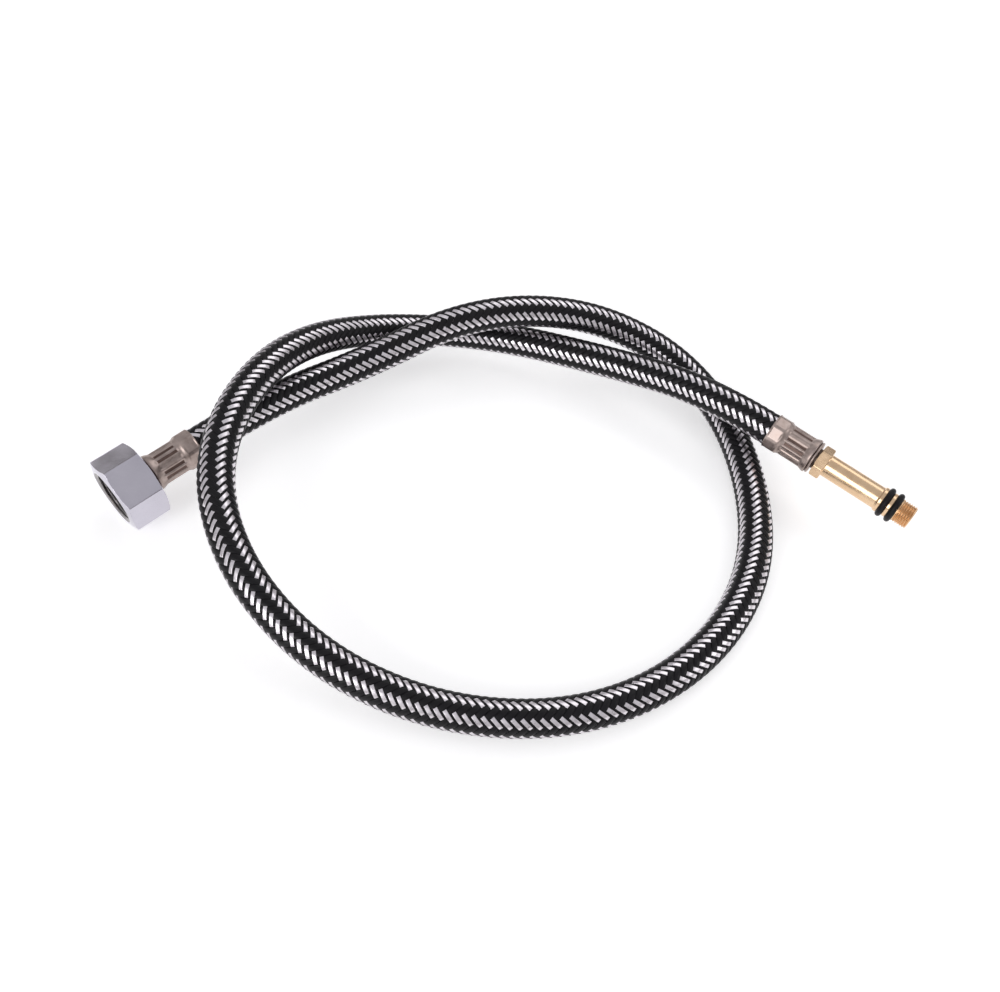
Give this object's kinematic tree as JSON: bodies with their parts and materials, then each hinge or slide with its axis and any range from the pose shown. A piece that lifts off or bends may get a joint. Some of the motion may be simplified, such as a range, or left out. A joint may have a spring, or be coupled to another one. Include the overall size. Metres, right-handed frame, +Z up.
{
  "type": "braided supply line",
  "caption": "Flexible braided water hose with a swivelling hexagonal coupling nut and a long threaded brass connector sealed by rings, lying in a loose knot.",
  "frame": {"origin": "on the floor under the middle of the two end fittings", "axes": "+X from the coupling nut's end towards the brass connector's end, +Z up"},
  "size_m": [0.3206, 0.2049, 0.0452],
  "materials": {
    "chrome_nut": "polished",
    "washer_rubber": "matte",
    "brass": "polished",
    "stainless": "satin",
    "liner_rubber": "matte",
    "braid": "woven black nylon with bright metal strands",
    "ring_rubber": "matte"
  },
  "bodies": {
    "line": {"nut_tailpiece": "brass", "nut_end_ferrule": "stainless", "hose_liner": "liner_rubber", "hose_braid": "braid", "tap_end_ferrule": "stainless", "m10_connector": "brass", "o_ring_inner": "ring_rubber", "o_ring_outer": "ring_rubber"},
    "washer": {"sealing_washer": "washer_rubber"},
    "nut": {"coupling_nut": "chrome_nut"}
  },
  "joints": [
    {"name": "nut_float", "type": "slide", "parent": "line", "child": "washer", "axis": [-0.6418, -0.7615, -0.0903], "range_m": [0, 0.0008]},
    {"name": "nut_spin", "type": "hinge", "parent": "washer", "child": "nut", "pos_m": [-0.14464, -0.03013, 0.01614], "axis": [-0.6418, -0.7615, -0.0903], "continuous": true}
  ]
}
